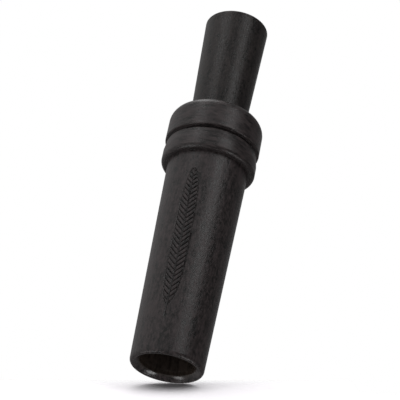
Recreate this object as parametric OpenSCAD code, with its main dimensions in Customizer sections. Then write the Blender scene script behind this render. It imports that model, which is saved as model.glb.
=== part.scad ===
// A two-reed duck call, standing on the rim of its mouth.
// The barrel's open mouth is at z = 0 and the insert's exhaust end is at the top.
// The reeds lie on the side of the tone board that faces -Y.

/* [Call] */
// Overall length, from the mouth's rim to the exhaust end
call_length = 144.5; // [140:0.5:160]

/* [Barrel] */
// Outer diameter of the tube at the mouth
mouth_dia = 25.6; // [25.2:0.1:27]
// Outer diameter of the tube where it meets the collar
tube_dia = 29.6; // [28:0.1:31]
// Diameter of the bore
bore_dia = 19; // [18.8:0.1:19.4]
// Height of the collar's lower edge
collar_base = 78.6; // [72:0.2:80]
// Height of the lanyard groove between the collar's two rings
groove_height = 87.8; // [87:0.2:89]
// Height of the collar's upper face, which is the barrel's length
collar_top = 101; // [100:1:103]
// Diameter of the lower ring
lower_ring_dia = 34.6; // [33:0.2:36]
// Diameter of the upper ring
upper_ring_dia = 35; // [34:0.2:36]
// Radius of the upper ring's domed shoulder
shoulder_round = 4.6; // [3:0.2:5]
// Depth of the lanyard groove below the upper ring
groove_depth = 1.8; // [1:0.1:2.4]
// Height of the lanyard groove's opening
groove_width = 0.9; // [0.8:0.1:1.6]
// Width of the flat rim that the call stands on
rim_flat = 0.4; // [0.3:0.1:0.7]
// How far the rim rounds off towards the outside
rim_outer_round = 1; // [0.6:0.1:1.4]
// How far the mouth dishes in, from the rim to the edge of the bore
rim_dish = 1.35; // [0.8:0.05:1.8]

/* [Insert] */
// Outer diameter of the exhaust tube where it leaves the barrel
exhaust_tube_dia = 21; // [20.4:0.2:22]
// Outer diameter of the exhaust tube at its end
exhaust_end_dia = 24.2; // [23:0.2:25]
// Length of the tenon that plugs into the barrel
tenon_length = 22; // [21:1:23]
// Diameter of the round socket for the tone board
socket_dia = 14; // [13.8:0.1:14.2]
// Depth of that socket, from the tenon's end
socket_depth = 17; // [16:1:18]
// Diameter of the exhaust bore at the socket
exhaust_bore_dia = 10; // [9:0.5:11]
// Diameter of the exhaust bore at its end
exhaust_mouth_dia = 17; // [15:0.5:18]

/* [Seals] */
// Thickness of an O-ring's section
seal_section = 1.3; // [1.2:0.05:1.35]
// Distance of the front O-ring from the tenon's end
front_seal_setback = 4; // [3:0.5:6]
// Distance of the rear O-ring below the collar's upper face
rear_seal_setback = 5; // [4:0.5:7]

/* [Tone board] */
// Length of the sounding face, from the tenon's end to the tip
sounding_length = 45; // [40:1:48]
// How far the sounding face curves away from the reeds at the tip
face_drop = 1.3; // [0.8:0.1:1.8]
// Distance of the flat face from the call's axis
face_offset = 1; // [0.8:0.1:1.2]
// Width of the tone channel
channel_width = 5.5; // [5:0.1:6]
// Depth of the tone channel at the exhaust
channel_depth = 5; // [4.6:0.1:5.2]
// Depth of the tone channel where it starts, behind the tip
channel_start_depth = 1.6; // [1.2:0.1:2]

/* [Reeds] */
// Width of both reeds
reed_width = 13; // [12:0.1:13.2]
// Thickness of the lower, longer reed
lower_reed_thick = 0.3; // [0.25:0.01:0.4]
// Thickness of the upper, shorter reed
upper_reed_thick = 0.25; // [0.2:0.01:0.3]
// How far the lower reed stops short of the board's tip
lower_reed_setback = 1.5; // [1:0.5:3]
// How far the upper reed stops short of the lower reed's tip
upper_reed_setback = 3; // [2:0.5:5]
// Length of the wedge that holds the reeds
wedge_length = 14; // [12:1:15]

/* [Hidden] */

$fn = 96;
round_steps = 8;
overshoot = 1;
// Clearances: a sliding fit, a light fit between pieces that stay together, and a thin film of air
sliding_gap = 0.05;
seal_gap = 0.03;
held_gap = 0.02;

mouth_r = mouth_dia / 2;
tube_r = tube_dia / 2;
bore_r = bore_dia / 2;
lower_ring_r = lower_ring_dia / 2;
upper_ring_r = upper_ring_dia / 2;

rim_outer_height = 1.4;
lip_round = 0.6;
lip_angle = 45;
ring_edge = 1.5;
ring_top_edge = 0.7;
ring_taper = 0.5;
ring_taper_height = 4;
groove_bevel = 0.4;
bore_chamfer = 0.4;

tenon_r = bore_r - sliding_gap;
tenon_base = collar_top - tenon_length;
tenon_chamfer = 0.5;
socket_r = socket_dia / 2;
socket_top = tenon_base + socket_depth;
exhaust_r = exhaust_tube_dia / 2;
exhaust_end_r = exhaust_end_dia / 2;
exhaust_bore_r = exhaust_bore_dia / 2;
exhaust_mouth_r = exhaust_mouth_dia / 2;
seam_bevel = 0.3;
end_round = 0.5;
end_inner_round = 1.2;

seal_r = bore_r - seal_gap - seal_section / 2;
seal_groove_r = bore_r - seal_gap - seal_section - sliding_gap;
seal_groove_width = seal_section + 0.2;
front_seal_z = tenon_base + front_seal_setback;
rear_seal_z = collar_top - rear_seal_setback;

board_r = socket_r - held_gap;
board_tip = tenon_base - sounding_length;
board_tip_thick = 3;
board_back_rise = 24;
board_corner = 3;
channel_r = channel_width / 2;
channel_setback = 4;

lower_reed_y = -face_offset - held_gap;
upper_reed_y = lower_reed_y - lower_reed_thick - held_gap;
wedge_y = upper_reed_y - upper_reed_thick - held_gap;
lower_reed_tip = board_tip + lower_reed_setback;
upper_reed_tip = lower_reed_tip + upper_reed_setback;
reed_butt = tenon_base + wedge_length - overshoot;
reed_corner = 3;
wedge_bevel = 1.2;

// Points along a quarter or half of an ellipse with half-axes rx and rz round (cx, cz)
function arc_points(cx, cz, rx, rz, from, to) = [
    for (i = [0:round_steps])
    let (a = from + (to - from) * i / round_steps)
    [cx + rx * cos(a), cz + rz * sin(a)]
];

// Height of the sounding face, as Y, at a height z on the board
function face_y(z) = -face_offset + face_drop * pow(max(0, tenon_base - z) / sounding_length, 2);

// Height of the board's back, as Y, which rises towards the tip
function back_y(z) =
    let (t = max(0, board_tip + board_back_rise - z) / board_back_rise)
    board_r - (board_r - face_y(board_tip) - board_tip_thick) * (1 - sqrt(1 - t * t * 0.96));

// Outline of a flat tongue in X and Z: square at the top, with round corners at its tip
module tongue_outline(width, tip, top, corner) {
    polygon(concat(
        [[width / 2, top], [-width / 2, top]],
        arc_points(-width / 2 + corner, tip + corner, corner, corner, 180, 270),
        arc_points(width / 2 - corner, tip + corner, corner, corner, 270, 360)
    ));
}

// The tongue as a plate that runs from y = near, towards -Y, by its thickness
module tongue(width, tip, top, corner, near, thick) {
    translate([0, near, 0])
        rotate([90, 0, 0])
            linear_extrude(thick)
                tongue_outline(width, tip, top, corner);
}

// The barrel: a tapered tube with a dished mouth, and a collar of two rings with a lanyard groove
module barrel() {
    ring_top = groove_height - groove_width / 2;
    ring_foot = groove_height + groove_width / 2;
    lower_top_r = lower_ring_r - ring_taper;
    color([0.13, 0.12, 0.12])
        rotate_extrude()
            polygon(concat(
                [[bore_r, collar_top - bore_chamfer]],
                arc_points(bore_r + lip_round, rim_dish + lip_round * sin(lip_angle),
                           lip_round, lip_round, 180, 180 + lip_angle),
                [[mouth_r - rim_outer_round - rim_flat, 0]],
                arc_points(mouth_r - rim_outer_round, rim_outer_height,
                           rim_outer_round, rim_outer_height, 270, 360),
                [[tube_r, collar_base]],
                arc_points(lower_ring_r - ring_edge, collar_base + ring_edge,
                           ring_edge, ring_edge, 270, 360),
                [[lower_ring_r, ring_top - ring_taper_height]],
                arc_points(lower_top_r - ring_top_edge, ring_top - ring_top_edge,
                           ring_top_edge, ring_top_edge, 0, 90),
                [
                    [upper_ring_r - groove_depth, groove_height],
                    [upper_ring_r - groove_bevel, ring_foot],
                    [upper_ring_r, ring_foot + groove_bevel]
                ],
                arc_points(upper_ring_r - shoulder_round, collar_top - shoulder_round,
                           shoulder_round, shoulder_round, 0, 90),
                [[bore_r + bore_chamfer, collar_top]]
            ));
}

// Outline of one O-ring groove, as points up the tenon's wall
function seal_groove(z) = [
    [tenon_r, z - seal_groove_width / 2],
    [seal_groove_r, z - seal_groove_width / 2],
    [seal_groove_r, z + seal_groove_width / 2],
    [tenon_r, z + seal_groove_width / 2]
];

// The insert: a tenon that holds the tone board, and the flared exhaust tube above the collar
module insert_body() {
    seat_z = collar_top + held_gap;
    color([0.15, 0.14, 0.14])
        rotate_extrude()
            polygon(concat(
                [
                    [socket_r, tenon_base],
                    [tenon_r - tenon_chamfer, tenon_base],
                    [tenon_r, tenon_base + tenon_chamfer]
                ],
                seal_groove(front_seal_z),
                seal_groove(rear_seal_z),
                [
                    [tenon_r, seat_z],
                    [exhaust_r - seam_bevel, seat_z],
                    [exhaust_r, seat_z + seam_bevel]
                ],
                arc_points(exhaust_end_r - end_round, call_length - end_round,
                           end_round, end_round, 0, 90),
                arc_points(exhaust_mouth_r + end_inner_round, call_length - end_inner_round,
                           end_inner_round, end_inner_round, 90, 180),
                [
                    [exhaust_bore_r, socket_top],
                    [socket_r, socket_top]
                ]
            ));
}

// Outline of the tone board from the side, in Y and Z
module board_side() {
    steps = 12;
    polygon(concat(
        [for (i = [0:steps]) let (z = board_tip + sounding_length * i / steps) [face_y(z), z]],
        [[-face_offset, socket_top], [board_r + overshoot, socket_top]],
        [[board_r + overshoot, board_tip + board_back_rise]],
        [
            for (i = [0:steps])
            let (z = board_tip + board_back_rise * (1 - i / steps))
            [back_y(z), z]
        ]
    ));
}

// The U-shaped tone channel, which deepens from behind the tip to the exhaust
module tone_channel() {
    run = socket_top - board_tip - channel_setback;
    start_y = -face_offset + channel_start_depth - channel_r;
    slope = atan((channel_depth - channel_start_depth) / run);
    translate([0, start_y, board_tip + channel_setback])
        rotate([-slope, 0, 0]) {
            cylinder(r = channel_r, h = run + 2 * overshoot);
            translate([-channel_r, -2 * channel_depth, 0])
                cube([channel_width, 2 * channel_depth, run + 2 * overshoot]);
        }
}

// The tone board: a half-round bar with a gently curved sounding face
module tone_board() {
    color([0.22, 0.21, 0.2])
        difference() {
            intersection() {
                translate([0, 0, board_tip])
                    cylinder(r = board_r, h = socket_top - board_tip);
                rotate([90, 0, 90])
                    linear_extrude(2 * socket_dia, center = true)
                        board_side();
                tongue(2 * board_r + overshoot, board_tip, socket_top + overshoot,
                       board_corner, socket_dia, 2 * socket_dia);
            }
            tone_channel();
        }
}

// The lower reed, which lies on the sounding face
module lower_reed() {
    color([0.85, 0.87, 0.88, 0.6])
        tongue(reed_width, lower_reed_tip, reed_butt, reed_corner, lower_reed_y, lower_reed_thick);
}

// The upper reed, which lies on the lower one and is shorter
module upper_reed() {
    color([0.85, 0.87, 0.88, 0.6])
        tongue(reed_width, upper_reed_tip, reed_butt, reed_corner, upper_reed_y, upper_reed_thick);
}

// The cork wedge, which fills the socket above the reeds and clamps them
module wedge() {
    color([0.72, 0.54, 0.36])
        difference() {
            intersection() {
                translate([0, 0, tenon_base])
                    cylinder(r = board_r, h = wedge_length);
                translate([-socket_r, wedge_y - socket_r, tenon_base])
                    cube([socket_dia, socket_r, wedge_length]);
            }
            translate([0, -board_r, tenon_base])
                rotate([45, 0, 0])
                    cube([socket_dia, wedge_bevel * sqrt(2), wedge_bevel * sqrt(2)], center = true);
        }
}

// One O-ring round the tenon
module o_ring(z) {
    color([0.07, 0.07, 0.07])
        translate([0, 0, z])
            rotate_extrude()
                translate([seal_r, 0])
                    circle(d = seal_section, $fn = 32);
}

// The front O-ring, near the tenon's end
module front_o_ring() {
    o_ring(front_seal_z);
}

// The rear O-ring, near the collar's upper face
module rear_o_ring() {
    o_ring(rear_seal_z);
}

barrel();
insert_body();
tone_board();
lower_reed();
upper_reed();
wedge();
front_o_ring();
rear_o_ring();
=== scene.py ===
"""A two-reed duck call: a black turned barrel and the insert that plugs into it.

Units are metres, in the CAD model's own frame: the mouth is at z = 0, the exhaust end is at the
top, and the reeds and the engraving are on the side that faces -Y.
"""

import math

import bpy
import numpy as np
from mathutils import Matrix, Vector


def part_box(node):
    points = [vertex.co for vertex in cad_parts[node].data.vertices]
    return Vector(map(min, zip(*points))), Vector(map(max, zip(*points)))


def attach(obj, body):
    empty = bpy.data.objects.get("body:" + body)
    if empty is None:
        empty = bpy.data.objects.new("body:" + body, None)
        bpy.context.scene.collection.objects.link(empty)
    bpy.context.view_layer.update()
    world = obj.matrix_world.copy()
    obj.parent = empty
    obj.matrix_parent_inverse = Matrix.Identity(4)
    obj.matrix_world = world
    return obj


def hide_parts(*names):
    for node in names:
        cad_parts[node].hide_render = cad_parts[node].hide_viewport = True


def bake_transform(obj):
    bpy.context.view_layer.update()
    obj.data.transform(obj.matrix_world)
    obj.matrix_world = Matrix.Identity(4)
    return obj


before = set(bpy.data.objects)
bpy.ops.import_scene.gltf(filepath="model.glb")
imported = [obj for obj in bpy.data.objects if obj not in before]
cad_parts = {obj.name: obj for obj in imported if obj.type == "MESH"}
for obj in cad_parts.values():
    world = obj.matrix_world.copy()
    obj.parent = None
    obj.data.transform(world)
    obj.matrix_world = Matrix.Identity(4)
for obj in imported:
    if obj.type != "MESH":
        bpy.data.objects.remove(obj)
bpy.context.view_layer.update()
MM = 0.001

# ---------------------------------------------------------------- sizes, as the CAD model has them

CALL_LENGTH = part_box("insert_body")[1].z
TENON_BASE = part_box("insert_body")[0].z
COLLAR_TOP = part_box("barrel")[1].z
UPPER_RING_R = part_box("barrel")[1].x
BOARD_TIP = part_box("tone_board")[0].z
SOCKET_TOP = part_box("tone_board")[1].z
BOARD_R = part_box("tone_board")[1].y

# The barrel
MOUTH_R = 12.8 * MM
TUBE_R = 14.8 * MM
BORE_R = 9.5 * MM
RIM_FLAT = 0.4 * MM
RIM_OUTER_ROUND = 1 * MM
RIM_OUTER_HEIGHT = 1.4 * MM
RIM_DISH = 1.35 * MM
DISH_BOW = 0.1 * MM
LIP_ROUND = 0.6 * MM
LIP_ANGLE = 45
COLLAR_BASE = 78.6 * MM
LOWER_RING_R = 17.3 * MM
RING_EDGE = 1.5 * MM
RING_TOP_EDGE = 0.7 * MM
RING_TAPER = 0.5 * MM
RING_TAPER_HEIGHT = 4 * MM
GROOVE_Z = 87.8 * MM
GROOVE_DEPTH = 1.8 * MM
GROOVE_WIDTH = 0.9 * MM
GROOVE_BEVEL = 0.4 * MM
SHOULDER_ROUND = 4.6 * MM
BORE_TOP_ROUND = 0.4 * MM
WALL_MIDDLE_R = BORE_R + 1.5 * MM

# The insert
TENON_R = 9.45 * MM
TENON_ROUND = 0.5 * MM
SOCKET_R = 7 * MM
SOCKET_BEVEL = 0.3 * MM
SEAL_GROOVE_R = 8.12 * MM
SEAL_GROOVE_WIDTH = 1.5 * MM
FRONT_SEAL_SETBACK = 4 * MM
REAR_SEAL_SETBACK = 5 * MM
SEAM_BEVEL = 0.3 * MM
EXHAUST_R = 10.5 * MM
EXHAUST_END_R = 12.1 * MM
EXHAUST_BORE_R = 5 * MM
EXHAUST_MOUTH_R = 8.5 * MM
END_ROUND = 0.5 * MM
END_INNER_ROUND = 1.2 * MM

# The tone board and the reeds
FACE_OFFSET = 1 * MM
FACE_DROP = 1.3 * MM
TIP_RISE = 24 * MM
TIP_THICK = 3 * MM
TIP_CORNER = 3 * MM
CHANNEL_R = 2.75 * MM
CHANNEL_SETBACK = 4 * MM
CHANNEL_START_DEPTH = 1.6 * MM
CHANNEL_END_DEPTH = 5 * MM
SCOOP_LENGTH = 3 * MM
REED_GRID = (26, 110)
DIMPLE_SETBACK = 11 * MM
DIMPLE_R = 1.7 * MM
DIMPLE_DEPTH = 0.32 * MM


# ---------------------------------------------------------------- mesh helpers

# Points closer together than this count as one
SAME_POINT = 1e-7
# How far along a profile wear looks to either side, and the turn there that counts as a sharp edge
WEAR_REACH = 0.5 * MM
SHARP_TURN = math.radians(70)
# The longest step along a turned profile, on the engraved stretch and elsewhere
ENGRAVED_STEP = 0.15 * MM
BARREL_STEP = 1.2 * MM
INSERT_STEP = 1.5 * MM


def arc(centre_r, centre_z, radius, start, end, steps=14, half_height=None):
    """Points along part of a circle in a profile of (r, z), from start to end in degrees.

    A half_height stretches or flattens the circle along z.
    """
    half_height = half_height or radius
    angles = np.radians(np.linspace(start, end, steps + 1))
    return [(centre_r + radius * math.cos(a), centre_z + half_height * math.sin(a)) for a in angles]


def bowed(start, end, rise, steps=8):
    """The points of a shallow bow between two points of a profile, on its outer side."""
    run_r, run_z = end[0] - start[0], end[1] - start[1]
    length = math.hypot(run_r, run_z)
    points = []
    for k in range(1, steps):
        t = k / steps
        out = rise * 4 * t * (1 - t) / length
        points.append((start[0] + run_r * t + run_z * out, start[1] + run_z * t - run_r * out))
    return points


def fill_in(profile, step):
    """The same closed profile with extra points, no further apart than step gives for their place."""
    dense = []
    for (r0, z0), (r1, z1) in zip(profile, profile[1:] + profile[:1]):
        length = math.hypot(r1 - r0, z1 - z0)
        if length < SAME_POINT:
            continue
        pieces = max(1, math.ceil(length / step(0.5 * (r0 + r1), 0.5 * (z0 + z1))))
        dense += [(r0 + (r1 - r0) * i / pieces, z0 + (z1 - z0) * i / pieces) for i in range(pieces)]
    return dense


def edge_weights(profile, reach=WEAR_REACH):
    """How convex a closed profile is at each point, from 0 on a flat to 1 on a sharp edge.

    The profile runs counter-clockwise in (r, z): up the outside and down the bore.
    """
    points = np.array(profile)
    closed = np.vstack([points, points[:1]])
    along = np.concatenate([[0], np.cumsum(np.hypot(*np.diff(closed, axis=0).T))])
    total = along[-1]

    def at(s):
        s = np.mod(s, total)
        return np.stack([np.interp(s, along, closed[:, k]) for k in (0, 1)], axis=1)

    s = along[:-1]
    before, here, after = at(s - reach), at(s), at(s + reach)
    a, b = here - before, after - here
    turn = np.arctan2(a[:, 0] * b[:, 1] - a[:, 1] * b[:, 0], (a * b).sum(1))
    return np.clip(turn / SHARP_TURN, 0, 1)


def new_object(name, vertices, faces, smooth_angle=40):
    """A mesh object with smooth shading, and sharp edges where faces meet at a steep angle."""
    mesh = bpy.data.meshes.new(name)
    mesh.from_pydata([tuple(v) for v in vertices], [], faces)
    mesh.validate()
    mesh.update()
    mesh.shade_smooth()
    mesh.set_sharp_from_angle(angle=math.radians(smooth_angle))
    piece = bpy.data.objects.new(name, mesh)
    bpy.context.scene.collection.objects.link(piece)
    return piece


def add_attribute(piece, name, values):
    """Stores one number for each vertex, for the piece's material to read."""
    attribute = piece.data.attributes.new(name, "FLOAT", "POINT")
    attribute.data.foreach_set("value", np.asarray(values, np.float32))


def ring_faces(rows, columns):
    """Quads of a grid that closes on itself both ways."""
    faces = []
    for i in range(rows):
        for j in range(columns):
            k, m = (i + 1) % rows, (j + 1) % columns
            faces.append((i * columns + j, i * columns + m, k * columns + m, k * columns + j))
    return faces


def revolve(name, profile, angles, carve=None):
    """A closed profile of (r, z) turned about the axis. carve gives a cut's depth at (angle, r, z).

    Its vertices store how exposed to wear they are, as edge, and how deeply they are cut, as cut.
    """
    points = np.array(profile)
    r = np.repeat(points[:, :1], len(angles), axis=1)
    z = np.repeat(points[:, 1:], len(angles), axis=1)
    a = np.repeat(angles[None, :], len(points), axis=0)
    cut = np.zeros_like(r) if carve is None else carve(a, r, z)
    vertices = np.stack([(r - cut) * np.cos(a), (r - cut) * np.sin(a), z], axis=2).reshape(-1, 3)
    piece = new_object(name, vertices, ring_faces(len(points), len(angles)))
    add_attribute(piece, "edge", np.repeat(edge_weights(profile), len(angles)))
    add_attribute(piece, "cut", cut.ravel() / DARK_CUT)
    return piece


# ---------------------------------------------------------------- the engraved feather

FEATHER_ANGLE = math.radians(-109.5)
FEATHER_TOP = 71 * MM
FEATHER_BOTTOM = 11 * MM
FEATHER_HALF_WIDTH = 3.3 * MM
FEATHER_MARGIN = 1 * MM
FEATHER_SPREAD = math.radians(20)
# The quill bows sideways along part of a sine wave, this many radians long
FEATHER_BEND = 0.45 * MM
FEATHER_BEND_TURN = 2.6
# The vane starts at this fraction of the feather's length
VANE_START = 0.11
BARB_PITCH = 1.9 * MM
BARB_RISE = 0.85
BARB_CURL = 0.06 / MM
BARB_FADE = 0.3 * MM
LINE_HALF_WIDTH = 0.36 * MM
LINE_DEPTH = 0.36 * MM
BARB_HALF_WIDTH = LINE_HALF_WIDTH * 0.85
BARB_DEPTH = LINE_DEPTH * 0.9
VANE_EDGE_HALF_WIDTH = LINE_HALF_WIDTH * 0.75
VANE_EDGE_DEPTH = LINE_DEPTH * 0.7
# The depth at which the material's painted shade makes a cut darkest
DARK_CUT = 0.4 * MM


def groove(distance, half_width, depth):
    """Depth of a rounded groove at a distance from its centre line."""
    t = np.clip(distance / half_width, 0, 1)
    return depth * (1 - t * t) ** 2


def feather(angle, r, z):
    """Depth of the engraving: a quill, the vane's two edges, and barbs that sweep up from the quill."""
    t = (z - FEATHER_BOTTOM) / (FEATHER_TOP - FEATHER_BOTTOM)
    turned = np.mod(angle - FEATHER_ANGLE + math.pi, 2 * math.pi) - math.pi
    across = turned * r - FEATHER_BEND * np.sin(FEATHER_BEND_TURN * np.clip(t, 0, 1))
    side = np.abs(across)
    on_feather = (r > WALL_MIDDLE_R) & (t > 0) & (t < 1)

    # the quill narrows towards its tip and fades at both ends
    quill = groove(side, LINE_HALF_WIDTH * (1.4 - 0.6 * t), LINE_DEPTH)
    quill = quill * np.clip(np.minimum(t, 1 - t) * 20, 0, 1)

    vane = np.clip((t - VANE_START) / (1 - VANE_START), 0, 1)
    half_width = FEATHER_HALF_WIDTH * (1 - (2 * vane - 1) ** 4) ** 0.6 * (1 - 0.12 * vane)
    in_vane = (vane > 0) & (side < half_width)
    swept = (z - BARB_RISE * side - BARB_CURL * side * side) / BARB_PITCH + np.where(across > 0, 0.5, 0)
    to_barb = np.abs(swept - np.round(swept)) * BARB_PITCH / math.hypot(1, BARB_RISE)
    fade = np.clip((half_width - side) / BARB_FADE, 0, 1)
    barbs = groove(to_barb, BARB_HALF_WIDTH, BARB_DEPTH) * np.where(in_vane, fade, 0)
    edge = groove(np.abs(side - half_width), VANE_EDGE_HALF_WIDTH, VANE_EDGE_DEPTH) * (vane > 0)
    return np.maximum(np.maximum(quill, barbs), edge) * on_feather


# ---------------------------------------------------------------- the turned pieces


def round_angles(coarse, fine_centre=None, fine_half=0.0, fine=0.55):
    """Angles all round, in radians, coarse degrees apart, and fine degrees apart near fine_centre."""
    if fine_centre is None:
        return np.radians(np.arange(0, 360, coarse))
    near = np.arange(-fine_half, fine_half + 1e-6, math.radians(fine))
    count = round((360 - 2 * math.degrees(fine_half)) / coarse) + 1
    far = np.linspace(fine_half, 2 * math.pi - fine_half, count)
    return fine_centre + np.concatenate([near, far[1:-1]])


def tube_r_at(z):
    """The barrel's radius between the rim and the collar."""
    return MOUTH_R + (TUBE_R - MOUTH_R) * (z - RIM_OUTER_HEIGHT) / (COLLAR_BASE - RIM_OUTER_HEIGHT)


def barrel_profile():
    """The barrel's section: from the lip round the rim, up the outside and the collar, and down the bore.

    The tube has a point at each end of the engraved stretch, so that only this stretch is finely stepped.
    """
    lip_z = RIM_DISH + LIP_ROUND * math.sin(math.radians(LIP_ANGLE))
    lip = arc(BORE_R + LIP_ROUND, lip_z, LIP_ROUND, 180, 180 + LIP_ANGLE, 8)
    flat_start = MOUTH_R - RIM_OUTER_ROUND - RIM_FLAT
    dish_end = (flat_start - 0.1 * MM, 0.04 * MM)
    engraved = (FEATHER_BOTTOM - FEATHER_MARGIN, FEATHER_TOP + FEATHER_MARGIN)
    fillet = 0.04 * MM
    ring_top = GROOVE_Z - GROOVE_WIDTH / 2
    ring_top_r = LOWER_RING_R - RING_TAPER
    upper_ring_base = GROOVE_Z + GROOVE_WIDTH / 2
    groove_r = UPPER_RING_R - GROOVE_DEPTH + 0.1 * MM
    return (
        lip + bowed(lip[-1], dish_end, DISH_BOW) + [dish_end, (flat_start, 0)]
        + arc(MOUTH_R - RIM_OUTER_ROUND, RIM_OUTER_HEIGHT, RIM_OUTER_ROUND, 270, 360, 20, RIM_OUTER_HEIGHT)
        + [(tube_r_at(z), z) for z in engraved]
        + [(TUBE_R, COLLAR_BASE - fillet), (TUBE_R + fillet, COLLAR_BASE)]
        + arc(LOWER_RING_R - RING_EDGE, COLLAR_BASE + RING_EDGE, RING_EDGE, 270, 360)
        + [(LOWER_RING_R, ring_top - RING_TAPER_HEIGHT)]
        + arc(ring_top_r - RING_TOP_EDGE, ring_top - RING_TOP_EDGE, RING_TOP_EDGE, 4, 90, 8)
        + [(groove_r, GROOVE_Z - 0.1 * MM), (groove_r, GROOVE_Z + 0.05 * MM)]
        + arc(UPPER_RING_R - GROOVE_BEVEL, upper_ring_base + GROOVE_BEVEL, GROOVE_BEVEL, 280, 360, 6)
        + arc(UPPER_RING_R - SHOULDER_ROUND, COLLAR_TOP - SHOULDER_ROUND, SHOULDER_ROUND, 0, 90, 24)
        + arc(BORE_R + BORE_TOP_ROUND, COLLAR_TOP - BORE_TOP_ROUND, BORE_TOP_ROUND, 90, 180, 5)
    )


def make_barrel():
    def step(r, z):
        in_stretch = FEATHER_BOTTOM - FEATHER_MARGIN < z < FEATHER_TOP + FEATHER_MARGIN
        return ENGRAVED_STEP if in_stretch and r > WALL_MIDDLE_R else BARREL_STEP

    angles = round_angles(2.5, FEATHER_ANGLE, FEATHER_SPREAD)
    return revolve("barrel_shell", fill_in(barrel_profile(), step), angles, carve=feather)


def seal_groove(z):
    """The groove for an O-ring round the tenon, with softened edges."""
    half, soft = SEAL_GROOVE_WIDTH / 2, 0.12 * MM
    return [
        (TENON_R, z - half - soft), (TENON_R - soft, z - half),
        (SEAL_GROOVE_R, z - half), (SEAL_GROOVE_R, z + half),
        (TENON_R - soft, z + half), (TENON_R, z + half + soft),
    ]


def insert_profile():
    """The insert's section: up the outside from the tenon to the exhaust end, and down the inside."""
    seat = COLLAR_TOP + 0.02 * MM
    inner_end_r = EXHAUST_MOUTH_R + END_INNER_ROUND
    return (
        [(SOCKET_R, TENON_BASE + SOCKET_BEVEL), (SOCKET_R + SOCKET_BEVEL, TENON_BASE)]
        + arc(TENON_R - TENON_ROUND, TENON_BASE + TENON_ROUND, TENON_ROUND, 270, 360, 5)
        + seal_groove(TENON_BASE + FRONT_SEAL_SETBACK)
        + seal_groove(COLLAR_TOP - REAR_SEAL_SETBACK)
        + [(TENON_R, seat)]
        + arc(EXHAUST_R - SEAM_BEVEL, seat + SEAM_BEVEL, SEAM_BEVEL, 270, 360, 5)
        + arc(EXHAUST_END_R - END_ROUND, CALL_LENGTH - END_ROUND, END_ROUND, 2, 90, 8)
        + arc(inner_end_r, CALL_LENGTH - END_INNER_ROUND, END_INNER_ROUND, 90, 176, 10)
        + [(EXHAUST_BORE_R, SOCKET_TOP), (SOCKET_R, SOCKET_TOP)]
    )


def make_insert_body():
    profile = fill_in(insert_profile(), lambda r, z: INSERT_STEP)
    return revolve("insert_shell", profile, round_angles(2.5))


def make_o_ring(name, node):
    """A rubber ring with the fine parting line that its mould leaves inside and outside."""
    low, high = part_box(node)
    section_r = (high.z - low.z) / 2
    centre_r = high.x - section_r
    middle = (low.z + high.z) / 2
    profile = []
    for a in np.arange(0, 360, 12):
        # the parting line stands out a little from the rest of the surface
        reach = section_r - (0 if a % 180 == 0 else 0.01 * MM)
        turned = math.radians(a)
        profile.append((centre_r + reach * math.cos(turned), middle + reach * math.sin(turned)))
    return revolve(name, profile, round_angles(3))


# ---------------------------------------------------------------- the tone board, reeds and wedge


def face_y(z):
    """Height of the sounding face, as Y, at z."""
    reach = max(0.0, TENON_BASE - z) / (TENON_BASE - BOARD_TIP)
    return -FACE_OFFSET + FACE_DROP * reach ** 2


def back_y(z):
    """Height of the board's back, as Y, at z. The back rises to a thin tip."""
    t = max(0.0, BOARD_TIP + TIP_RISE - z) / TIP_RISE
    return BOARD_R - (BOARD_R - face_y(BOARD_TIP) - TIP_THICK) * (1 - math.sqrt(1 - t * t * 0.96))


def board_half_width(z):
    """Half the board's width at z, which narrows round its tip's corners."""
    t = max(0.0, BOARD_TIP + TIP_CORNER - z) / TIP_CORNER
    return BOARD_R - TIP_CORNER * (1 - math.sqrt(max(0.0, 1 - t * t)))


def channel_depth_at(z):
    """Depth of the tone channel at z, which starts as a shallow scoop behind the tip."""
    start = BOARD_TIP + CHANNEL_SETBACK
    if z <= start:
        return 0.0
    along = (z - start) / (SOCKET_TOP - start)
    even = CHANNEL_START_DEPTH + (CHANNEL_END_DEPTH - CHANNEL_START_DEPTH) * along
    scoop = min(1.0, (z - start) / SCOOP_LENGTH)
    return even * math.sqrt(1 - (1 - scoop) ** 2)


def channel_section(top, depth):
    """The tone channel's round floor and straight walls, as points from its left lip to its right lip."""
    lip = CHANNEL_R
    if depth < CHANNEL_R:
        lip = math.sqrt(max(0.0, 2 * CHANNEL_R * depth - depth ** 2))
    soft = min(0.12 * MM, depth * 0.5)
    rise = min(lip, depth)
    points = [(-lip - soft * 2, top), (-lip - soft, top)]
    for a in np.linspace(0, math.pi, 15):
        y = top + depth - rise + rise * math.sin(a)
        if a in (0, math.pi) and depth > lip:
            y = top + soft
        points.append((-lip * math.cos(a), y))
    return points + [(lip + soft, top), (lip + soft * 2, top)]


def board_section(z, shrink=0.0):
    """One closed section of the board, with the same number of points at every z."""
    top, bottom, half = face_y(z) + shrink, back_y(z) - shrink, board_half_width(z) - shrink
    radius = BOARD_R - shrink
    corner = 0.25 * MM
    start = math.asin(max(-1, min(1, (top + corner) / radius)))
    points = []
    for a in np.linspace(start, math.pi - start, 45):
        x, y = radius * math.cos(a), radius * math.sin(a)
        x *= min(1.0, half / max(1e-9, abs(x)))
        # the thinned back is slightly domed
        points.append((x, min(y, bottom * (1 - 0.12 * (abs(x) / radius) ** 4))))
    first_x, last_x = points[0][0], points[-1][0]
    return (
        points + [(last_x + corner * 0.3, top + corner * 0.3), (last_x + corner, top)]
        + channel_section(top, channel_depth_at(z))
        + [(first_x - corner, top), (first_x - corner * 0.3, top + corner * 0.3)]
    )


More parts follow.
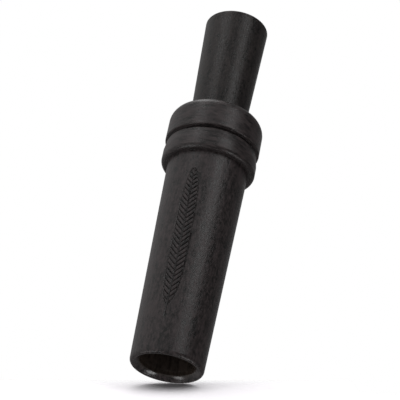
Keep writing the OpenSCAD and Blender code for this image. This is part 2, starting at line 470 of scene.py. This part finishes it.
def loft(name, sections, heights):
    """A solid through sections of equal point counts, with flat ends."""
    count = len(sections[0])
    vertices = [(x, y, z) for section, z in zip(sections, heights) for x, y in section]
    faces = []
    for i in range(len(sections) - 1):
        for j in range(count):
            k = (j + 1) % count
            faces.append((i * count + j, (i + 1) * count + j, (i + 1) * count + k, i * count + k))
    faces.append(tuple(range(count)))
    last = (len(sections) - 1) * count
    faces.append(tuple(last + j for j in reversed(range(count))))
    return new_object(name, vertices, faces, smooth_angle=32)


def make_tone_board():
    end_bevel = 0.25 * MM
    channel_start = BOARD_TIP + CHANNEL_SETBACK
    near_tip = [BOARD_TIP + TIP_CORNER * (1 - math.cos(math.radians(a))) for a in (8, 20, 32, 46, 60, 75, 90)]
    scoop = [channel_start + d * MM for d in (0.0, 0.15, 0.4, 0.8, 1.3, 2.0, 3.0)]
    rest = list(np.arange(channel_start + 4.5 * MM, SOCKET_TOP - 0.5 * MM, 1.5 * MM))
    heights = [BOARD_TIP] + sorted(near_tip + scoop + rest) + [SOCKET_TOP - end_bevel, SOCKET_TOP]
    tip_face = [(x * 0.93, y) for x, y in board_section(BOARD_TIP + 0.02 * MM, end_bevel)]
    sections = [tip_face] + [board_section(z) for z in heights[1:-1]] + [board_section(SOCKET_TOP, end_bevel)]
    return loft("tone_board_body", sections, heights)


def make_reed(name, node, dimple=False):
    """A film strip on a fine grid, so that it can bend, with its dimple pressed in if it has one."""
    low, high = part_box(node)
    columns, rows = REED_GRID
    half = (high.x - low.x) / 2
    heights = low.z + (high.z - low.z) * (np.linspace(0, 1, rows + 1) ** 1.25)
    # columns lie closer together at both edges
    across = 0.35 * np.sin(np.linspace(-math.pi / 2, math.pi / 2, columns + 1))
    across = across + 0.65 * np.linspace(-1, 1, columns + 1)
    vertices, faces = [], []
    for y in (low.y, high.y):
        for z in heights:
            t = min(1.0, (z - low.z) / TIP_CORNER)
            width = half - TIP_CORNER * (1 - math.sqrt(max(0.0, 1 - (1 - t) ** 2)))
            for u in across:
                press = 0.0
                if dimple:
                    off = math.hypot(u * width, z - low.z - DIMPLE_SETBACK) / DIMPLE_R
                    press = DIMPLE_DEPTH * max(0.0, 1 - off ** 2) ** 2
                vertices.append((u * width, y - press, z))
    layer = (rows + 1) * (columns + 1)
    for i in range(rows):
        for j in range(columns):
            a = i * (columns + 1) + j
            b = a + columns + 1
            faces.append((a, a + 1, b + 1, b))
            faces.append((layer + a, layer + b, layer + b + 1, layer + a + 1))
    rim = [i * (columns + 1) for i in range(rows + 1)]
    rim += [rows * (columns + 1) + j for j in range(1, columns + 1)]
    rim += [i * (columns + 1) + columns for i in reversed(range(rows))]
    rim += list(reversed(range(1, columns)))
    for a, b in zip(rim, rim[1:] + rim[:1]):
        faces.append((a, b, layer + b, layer + a))
    return new_object(name, vertices, faces, smooth_angle=50)


def make_wedge():
    """The cork block: a segment of the socket, with rounded edges and a bevelled lower front."""
    low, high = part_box("wedge")
    radius, flat = -low.y, high.y
    end_bevel, front_bevel, pit_depth = 0.25 * MM, 1.2 * MM, 0.10 * MM
    crumb = np.random.default_rng(7)
    heights = list(low.z + np.array([0.0, 0.25, 0.6, 1.2]) * MM)
    heights += list(np.arange(low.z + 1.8 * MM, high.z - 0.6 * MM, 0.6 * MM)) + [high.z - end_bevel, high.z]
    sections = []
    for z in heights:
        inset = end_bevel if z in (low.z, high.z) else 0.0
        r = radius - inset
        front = max(0.0, front_bevel - (z - low.z)) - r
        edge = math.acos(min(1.0, -(flat - inset) / r))
        turns = np.linspace(-edge, edge, 41)
        section = [(r * math.sin(a) * 0.992, max(-r * math.cos(a), front)) for a in turns]
        width = section[-1][0]
        section += [(width * u, flat - inset) for u in np.linspace(0.97, -0.97, 21)]
        pits = crumb.random(len(section)) ** 3 * pit_depth
        sections.append([
            (x * (1 - p / r), y + p * 0.6 if y < flat - 0.3 * MM else y - p)
            for (x, y), p in zip(section, pits)
        ])
    return loft("wedge_cork", sections, heights)


# ---------------------------------------------------------------- materials


class Nodes:
    """A material's node tree, with short calls for the nodes that every material here uses."""

    def __init__(self, name):
        self.material = bpy.data.materials.new(name)
        self.material.use_nodes = True
        self.tree = self.material.node_tree
        self.shader = self.tree.nodes["Principled BSDF"]
        self.output = self.tree.nodes["Material Output"]

    def add(self, kind, inputs=None, **settings):
        node = self.tree.nodes.new(kind)
        for key, value in settings.items():
            setattr(node, key, value)
        for key, value in (inputs or {}).items():
            self.set(node.inputs[key], value)
        return node

    def set(self, socket, value):
        if isinstance(value, bpy.types.NodeSocket):
            self.tree.links.new(value, socket)
        else:
            socket.default_value = value

    def math(self, operation, a, b=0.0, clamp=False):
        node = self.add("ShaderNodeMath", {0: a, 1: b}, operation=operation)
        node.use_clamp = clamp
        return node.outputs[0]

    def position(self):
        """The point in the piece's own frame, in millimetres."""
        point = self.add("ShaderNodeTexCoord").outputs["Object"]
        return self.add("ShaderNodeVectorMath", {0: point, "Scale": 1 / MM}, operation="SCALE").outputs[0]

    def stretched(self, vector, scale):
        return self.add("ShaderNodeVectorMath", {0: vector, 1: scale}, operation="MULTIPLY").outputs[0]

    def noise(self, vector, scale, detail, rough):
        inputs = {"Vector": vector, "Scale": scale, "Detail": detail, "Roughness": rough}
        return self.add("ShaderNodeTexNoise", inputs).outputs["Fac"]

    def remap(self, value, low, high, to_low=0.0, to_high=1.0):
        node = self.add("ShaderNodeMapRange", {0: value, 1: low, 2: high, 3: to_low, 4: to_high})
        node.clamp = True
        return node.outputs[0]

    def mix(self, factor, a, b):
        node = self.add("ShaderNodeMix", data_type="RGBA")
        self.set(node.inputs[0], factor)
        self.set(node.inputs[6], a)
        self.set(node.inputs[7], b)
        return node.outputs[2]

    def attribute(self, name):
        return self.add("ShaderNodeAttribute", attribute_name=name).outputs["Fac"]

    def bump(self, height, distance, strength, normal=None):
        inputs = {"Height": height, "Distance": distance, "Strength": strength}
        if normal is not None:
            inputs["Normal"] = normal
        return self.add("ShaderNodeBump", inputs).outputs["Normal"]


def shades(tint, *factors):
    """The colours that are the tint times each factor."""
    return [[c * factor for c in tint] + [1] for factor in factors]


def black_wood(name, tint, bore_r, brown, roughness, specular):
    """Black-stained, hand-rubbed wood: streaks along the tube, turning marks round the collar.

    tint is the stain's colour, and brown that of the thin coat inside, from about bore_r mm inwards.
    """
    n = Nodes(name)
    point = n.position()
    x, y, z = n.add("ShaderNodeSeparateXYZ", {0: point}).outputs
    radius = n.math("SQRT", n.math("ADD", n.math("MULTIPLY", x, x), n.math("MULTIPLY", y, y)))

    # marks lie along the axis on the tube, and run round the collar
    on_collar = n.remap(radius, 15.3, 16.4)
    round_x = n.math("MULTIPLY", n.math("DIVIDE", x, radius), 4.5)
    round_y = n.math("MULTIPLY", n.math("DIVIDE", y, radius), 4.5)
    level = n.math("ADD", n.math("MULTIPLY", z, 1.1), n.math("MULTIPLY", radius, 1.4))
    turned = n.add("ShaderNodeCombineXYZ", {0: round_x, 1: round_y, 2: level}).outputs[0]

    def marks(length, scale, detail, rough):
        """Noise whose marks are length times as long as they are wide."""
        on_tube = n.stretched(point, (1.0, 1.0, 1.0 / length))
        vector = n.add("ShaderNodeMix", {0: on_collar, 4: on_tube, 5: turned}, data_type="VECTOR").outputs[1]
        return n.noise(vector, scale, detail, rough)

    grain = marks(11.0, 1.0, 6.0, 0.68)
    fine_grain = marks(10.0, 3.2, 4.0, 0.65)
    mottle = marks(1.8, 0.75, 5.0, 0.7)
    speck = marks(1.6, 1.2, 3.0, 0.6)
    blotch = n.noise(point, 0.16, 4.0, 0.6)

    # colour: stain that took unevenly, with pale dust in it
    tone = n.math("ADD", n.math("MULTIPLY", grain, 0.35), n.math("MULTIPLY", mottle, 0.45))
    tone = n.math("ADD", tone, n.math("MULTIPLY", blotch, 0.20))
    shade = n.remap(tone, 0.43, 0.57)
    dark, light, dusty = shades(tint, 0.15, 2.4, 4.2)
    colour = n.mix(shade, dark, light)
    dust = n.remap(speck, 0.50, 0.64)
    colour = n.mix(n.math("MULTIPLY", dust, 0.5), colour, dusty)

    # rubbed edges, a brown coat inside, and painted shade in the engraving, darker where it is cut deeper
    edge = n.attribute("edge")
    worn = n.math("MULTIPLY", edge, n.remap(mottle, 0.46, 0.66))
    colour = n.mix(n.math("MULTIPLY", worn, 0.35), colour, (0.095, 0.080, 0.072, 1))
    inside = n.math("MULTIPLY", n.remap(radius, bore_r + 0.9, bore_r + 0.25), n.remap(z, 0.3, 1.8))
    colour = n.mix(inside, colour, n.mix(shade, *shades(brown, 0.6, 1.5)))
    # painted shade: the engraving's colour darkens with its depth, where shade would fall in it
    painted_cut_shade = n.math("MULTIPLY", n.attribute("cut"), 0.85, clamp=True)
    colour = n.mix(painted_cut_shade, colour, (0.003, 0.0025, 0.0025, 1))
    n.set(n.shader.inputs["Base Color"], colour)

    # finish: satin, more polished where it is rubbed, and most on the lip
    rough = n.remap(tone, 0.40, 0.60, roughness - 0.07, roughness + 0.07)
    rough = n.math("ADD", rough, n.remap(speck, 0.4, 0.64, -0.04, 0.08))
    rough = n.math("SUBTRACT", rough, n.math("MULTIPLY", edge, 0.12))
    lip = n.math("MULTIPLY", n.remap(radius, bore_r + 2.2, bore_r + 1.2), n.remap(z, 3.5, 2.5))
    rough = n.math("SUBTRACT", rough, n.math("MULTIPLY", lip, 0.16), clamp=True)
    n.set(n.shader.inputs["Roughness"], rough)
    n.shader.inputs["Specular IOR Level"].default_value = specular

    # relief: a hand-rubbed unevenness, with streaks, turning marks and open pores on it, all fainter
    # on the lip
    relief = n.remap(lip, 0.0, 1.0, 1.0, 0.25)
    coarse = n.bump(n.math("MULTIPLY", mottle, relief), 0.14 * MM, 0.8)
    height = n.math("ADD", n.math("MULTIPLY", grain, 0.9), n.math("MULTIPLY", fine_grain, 0.5))
    height = n.math("ADD", height, n.math("MULTIPLY", speck, 0.75))
    height = n.math("MULTIPLY", height, relief)
    n.set(n.shader.inputs["Normal"], n.bump(height, 0.08 * MM, 0.9, coarse))
    return n.material


def moulded_board():
    """Dark, finely matt plastic with faint cutter marks along the board."""
    n = Nodes("board_black")
    point = n.position()
    marks = n.noise(n.stretched(point, (3.0, 3.0, 0.15)), 1.2, 4.0, 0.6)
    cloud = n.noise(point, 0.35, 4.0, 0.6)
    colour = n.mix(n.remap(cloud, 0.35, 0.65), (0.016, 0.016, 0.0165, 1), (0.036, 0.034, 0.033, 1))
    n.set(n.shader.inputs["Base Color"], colour)
    n.set(n.shader.inputs["Roughness"], n.remap(marks, 0.3, 0.7, 0.38, 0.56))
    grain = n.noise(point, 7.0, 2.0, 0.5)
    height = n.math("ADD", marks, n.math("MULTIPLY", grain, 0.35))
    n.set(n.shader.inputs["Normal"], n.bump(height, 0.08 * MM, 0.6))
    return n.material


def reed_film():
    """Frosted polyester film: milky, with fine rolling marks and a few breath spots."""
    n = Nodes("reed_film")
    point = n.position()
    marks = n.noise(n.stretched(point, (4.0, 1.0, 0.12)), 1.6, 3.0, 0.55)
    spots = n.noise(point, 0.7, 4.0, 0.65)
    colour = n.mix(n.remap(spots, 0.4, 0.7), (0.70, 0.75, 0.77, 1), (0.86, 0.88, 0.88, 1))
    n.set(n.shader.inputs["Base Color"], colour)
    n.set(n.shader.inputs["Roughness"], n.remap(marks, 0.3, 0.7, 0.20, 0.38))
    n.shader.inputs["Alpha"].default_value = 0.62
    n.set(n.shader.inputs["Normal"], n.bump(marks, 0.03 * MM, 0.5))
    return n.material


def cork():
    """Cut cork: warm grains with dark seams and open pits."""
    n = Nodes("wedge_cork")
    point = n.position()
    cells = n.add("ShaderNodeTexVoronoi", {"Vector": point, "Scale": 1.25, "Randomness": 1.0})
    tone = n.add("ShaderNodeSeparateColor", {0: cells.outputs["Color"]}).outputs[0]
    seams = n.add("ShaderNodeTexVoronoi", {"Vector": point, "Scale": 1.25}, feature="DISTANCE_TO_EDGE")
    seam = n.remap(seams.outputs["Distance"], 0.02, 0.12)
    pits = n.remap(n.noise(point, 1.9, 4.0, 0.7), 0.30, 0.42)
    colour = n.mix(tone, (0.36, 0.20, 0.10, 1), (0.58, 0.38, 0.21, 1))
    colour = n.mix(n.math("MULTIPLY", seam, pits), (0.12, 0.06, 0.03, 1), colour)
    n.set(n.shader.inputs["Base Color"], colour)
    n.set(n.shader.inputs["Roughness"], n.remap(tone, 0.0, 1.0, 0.72, 0.9))
    height = n.math("ADD", n.math("MULTIPLY", seam, 0.6), n.math("MULTIPLY", pits, 0.8))
    n.set(n.shader.inputs["Normal"], n.bump(height, 0.12 * MM, 0.9))
    return n.material


def seal_rubber():
    """Black rubber with a waxy film of grease."""
    n = Nodes("seal_rubber")
    point = n.position()
    film = n.noise(point, 1.1, 4.0, 0.6)
    colour = n.mix(n.remap(film, 0.4, 0.7), (0.010, 0.010, 0.011, 1), (0.028, 0.027, 0.026, 1))
    n.set(n.shader.inputs["Base Color"], colour)
    n.set(n.shader.inputs["Roughness"], n.remap(film, 0.35, 0.7, 0.30, 0.52))
    n.set(n.shader.inputs["Normal"], n.bump(n.noise(point, 6.0, 3.0, 0.6), 0.04 * MM, 0.6))
    return n.material


# ---------------------------------------------------------------- the object

BARREL_BLACK = black_wood(
    "barrel_black", tint=(0.0172, 0.0126, 0.0128), bore_r=BORE_R / MM, brown=(0.036, 0.027, 0.022),
    roughness=0.35, specular=0.5,
)
INSERT_BLACK = black_wood(
    "insert_black", tint=(0.0108, 0.0083, 0.0078), bore_r=9.0, brown=(0.024, 0.019, 0.016),
    roughness=0.34, specular=0.38,
)


def place(piece, node, material, body=None):
    """Finishes a piece: its material, the CAD node it stands for, and the body it rides on, if any."""
    piece.data.materials.append(material)
    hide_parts(node)
    if body:
        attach(piece, body)
    return piece


place(make_barrel(), "barrel", BARREL_BLACK, "barrel")
place(make_insert_body(), "insert_body", INSERT_BLACK, "insert")
place(make_tone_board(), "tone_board", moulded_board(), "insert")
place(make_wedge(), "wedge", cork(), "insert")

RUBBER = seal_rubber()
for end in ("front", "rear"):
    place(make_o_ring(end + "_seal_ring", end + "_o_ring"), end + "_o_ring", RUBBER, "seals")

FILM = reed_film()
for which in ("lower", "upper"):
    node = which + "_reed"
    reed = place(make_reed(which + "_reed_film", node, dimple=which == "upper"), node, FILM)
    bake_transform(reed)

# ---------------------------------------------------------------- floors, light and camera

CAMERA_ELEVATION = math.radians(-29.9)
CAMERA_LEAN = math.radians(11.8)
CAMERA_LENS = 120
# The mouth's centre as the camera sees it: right, up and towards the camera
MOUTH_IN_VIEW = Vector((-0.01131, -0.05648, -0.4473))
# How far above the floor the camera looks down on the call, which leans back on its rim
FLOOR_VIEW_ANGLE = math.radians(1)

AXIS = Vector((0, 0, 1))
forward = Vector((0, math.cos(CAMERA_ELEVATION), -math.sin(CAMERA_ELEVATION)))
level_up = Vector((0, math.sin(CAMERA_ELEVATION), math.cos(CAMERA_ELEVATION)))
right = Vector((math.cos(CAMERA_LEAN), 0, 0)) + level_up * math.sin(CAMERA_LEAN)
up = level_up * math.cos(CAMERA_LEAN) - Vector((math.sin(CAMERA_LEAN), 0, 0))
back = -forward


def seen_from_camera(x, y, z):
    """A direction given as right, up and towards the camera, in the row frame."""
    return right * x + up * y + back * z


camera_data = bpy.data.cameras.new("camera")
camera_data.lens = CAMERA_LENS
camera_data.sensor_width = 36
camera_data.clip_start, camera_data.clip_end = 0.01, 50
camera = bpy.data.objects.new("camera", camera_data)
camera.matrix_world = Matrix.Translation(-seen_from_camera(*MOUTH_IN_VIEW)) @ Matrix((
    (right.x, up.x, back.x, 0), (right.y, up.y, back.y, 0), (right.z, up.z, back.z, 0), (0, 0, 0, 1),
))
bpy.context.scene.collection.objects.link(camera)
bpy.context.scene.camera = camera


def pale_floor(name, corners, fade=None):
    """A pale studio floor that shows only from its upper side.

    fade is a direction and the distances along it between which the floor thins out to nothing.
    """
    mesh = bpy.data.meshes.new(name)
    mesh.from_pydata([tuple(c) for c in corners], [], [tuple(range(len(corners)))])
    floor = bpy.data.objects.new(name, mesh)
    bpy.context.scene.collection.objects.link(floor)
    n = Nodes(name + "_white")
    n.shader.inputs["Base Color"].default_value = (0.81, 0.79, 0.815, 1)
    n.shader.inputs["Roughness"].default_value = 0.9
    n.shader.inputs["Specular IOR Level"].default_value = 0.1
    surface = n.add("ShaderNodeNewGeometry")
    clearness = surface.outputs["Backfacing"]
    if fade is not None:
        direction, start, end = fade
        across = {0: surface.outputs["Position"], 1: tuple(direction)}
        reach = n.add("ShaderNodeVectorMath", across, operation="DOT_PRODUCT").outputs["Value"]
        clearness = n.math("MAXIMUM", clearness, n.remap(reach, start, end))
    clear = n.add("ShaderNodeBsdfTransparent")
    both = n.add("ShaderNodeMixShader", {0: clearness, 1: n.shader.outputs[0], 2: clear.outputs[0]})
    n.set(n.output.inputs["Surface"], both.outputs[0])
    mesh.materials.append(n.material)
    floor.visible_diffuse = False
    floor.visible_glossy = False
    floor.visible_transmission = False
    floor.visible_shadow = False
    return floor


# The level floor that the call stands on, seen from above
FLOOR_REACH = 4.0
level_floor = pale_floor("level_floor", [
    (x * FLOOR_REACH, y * FLOOR_REACH, -0.05 * MM) for x, y in ((-1, -1), (1, -1), (1, 1), (-1, 1))
])

# The floor under the call as it leans back in the camera's view, with its rim's lowest point on it.
# It fades out just behind the rim. On the right it also ends where it would come up through the level
# floor, apart from a short tongue.
FLOOR_BEHIND = 12 * MM
FADE_START = -2 * MM
FADE_END = 8 * MM
TONGUE_REACH = 60 * MM
floor_up = up * math.cos(FLOOR_VIEW_ANGLE) + back * math.sin(FLOOR_VIEW_ANGLE)
behind = up * math.sin(FLOOR_VIEW_ANGLE) - back * math.cos(FLOOR_VIEW_ANGLE)
slope_r = math.hypot(floor_up.x, floor_up.y)
rim_r, rim_z = max(barrel_profile(), key=lambda point: point[0] * slope_r - point[1] * floor_up.z)
foot = Vector((-floor_up.x / slope_r * rim_r, -floor_up.y / slope_r * rim_r, rim_z))


def level_edge(across):
    """How far behind the foot the leaning floor meets the level floor, at a distance to the right."""
    return -(foot.z + right.z * across) / behind.z


leaning_floor = pale_floor("leaning_floor", [
    foot + right * across + behind * reach
    for across, reach in (
        (-FLOOR_REACH, -FLOOR_REACH), (FLOOR_REACH, -FLOOR_REACH), (FLOOR_REACH, level_edge(FLOOR_REACH)),
        (TONGUE_REACH, level_edge(TONGUE_REACH)), (TONGUE_REACH, FLOOR_BEHIND), (-FLOOR_REACH, FLOOR_BEHIND),
    )
], fade=(behind, foot.dot(behind) + FADE_START, foot.dot(behind) + FADE_END))


def softbox(name, direction, distance, width, height, power):
    """A rectangular soft light that faces the middle of the call, its height along the call's axis.

    direction is given as right, up and towards the camera.
    """
    middle = AXIS * (CALL_LENGTH / 2)
    towards = seen_from_camera(*direction).normalized()
    data = bpy.data.lights.new(name, "AREA")
    data.shape = "RECTANGLE"
    data.size, data.size_y = width, height
    data.energy = power
    lamp = bpy.data.objects.new(name, data)
    side = AXIS.cross(towards).normalized()
    rise = towards.cross(side)
    spot = middle + towards * distance
    lamp.matrix_world = Matrix((
        (side.x, rise.x, towards.x, spot.x), (side.y, rise.y, towards.y, spot.y),
        (side.z, rise.z, towards.z, spot.z), (0, 0, 0, 1),
    ))
    bpy.context.scene.collection.objects.link(lamp)


# The two main lights, one over the collar's shoulder, and two for the glints on the lip
softbox("right_softbox", (0.59, 0.67, 0.42), distance=0.9, width=0.28, height=0.50, power=1.2)
softbox("left_softbox", (-0.36, 0.92, 0.14), distance=0.5, width=0.12, height=0.14, power=0.14)
softbox("top_softbox", (-0.04, 0.80, -0.60), distance=0.8, width=0.40, height=0.40, power=0.9)
softbox("right_glint", (0.36, -0.78, 0.51), distance=0.8, width=0.34, height=0.18, power=0.9)
softbox("left_glint", (-0.66, -0.53, 0.53), distance=0.8, width=0.38, height=0.18, power=0.7)

# A broad overhead light for the floors alone, for the call's soft shadow
overhead_data = bpy.data.lights.new("overhead", "SUN")
overhead_data.energy = 3.0
overhead_data.angle = math.radians(130)
overhead = bpy.data.objects.new("overhead", overhead_data)
overhead.rotation_euler = (AXIS * 0.7 + floor_up * 0.3).to_track_quat("Z", "Y").to_euler()
bpy.context.scene.collection.objects.link(overhead)
floors = bpy.data.collections.new("floors")
for floor in (level_floor, leaning_floor):
    floors.objects.link(floor)
overhead.light_linking.receiver_collection = floors

# The studio round the call, as the brightest of a few broad soft glows. The camera sees it as white.
GLOWS = (
    # direction, cosines between which it grows, and its strengths there
    (seen_from_camera(-0.75, 0.6, 0.1).normalized(), -0.3, 0.85, 0.12, 0.54),
    (forward, 0.6, 0.97, 0.0, 0.34),
    (-AXIS, -0.05, 0.4, 0.0, 0.16),
)
world = bpy.data.worlds.new("studio")
world.use_nodes = True
tree = world.node_tree
background = tree.nodes["Background"]
background.inputs["Color"].default_value = (1, 1, 1, 1)
direction = tree.nodes.new("ShaderNodeTexCoord").outputs["Generated"]
brightest = None
for towards, start, end, low, high in GLOWS:
    cosine = tree.nodes.new("ShaderNodeVectorMath")
    cosine.operation = "DOT_PRODUCT"
    cosine.inputs[1].default_value = towards
    tree.links.new(direction, cosine.inputs[0])
    glow = tree.nodes.new("ShaderNodeMapRange")
    for socket, value in zip(glow.inputs[1:5], (start, end, low, high)):
        socket.default_value = value
    tree.links.new(cosine.outputs["Value"], glow.inputs["Value"])
    if brightest is None:
        brightest = glow.outputs[0]
        continue
    larger = tree.nodes.new("ShaderNodeMath")
    larger.operation = "MAXIMUM"
    tree.links.new(brightest, larger.inputs[0])
    tree.links.new(glow.outputs[0], larger.inputs[1])
    brightest = larger.outputs[0]
seen = tree.nodes.new("ShaderNodeMix")
seen.inputs[3].default_value = 1.0
tree.links.new(tree.nodes.new("ShaderNodeLightPath").outputs["Is Camera Ray"], seen.inputs[0])
tree.links.new(brightest, seen.inputs[2])
tree.links.new(seen.outputs[0], background.inputs["Strength"])
bpy.context.scene.world = world
bpy.context.scene.view_settings.view_transform = "Standard"
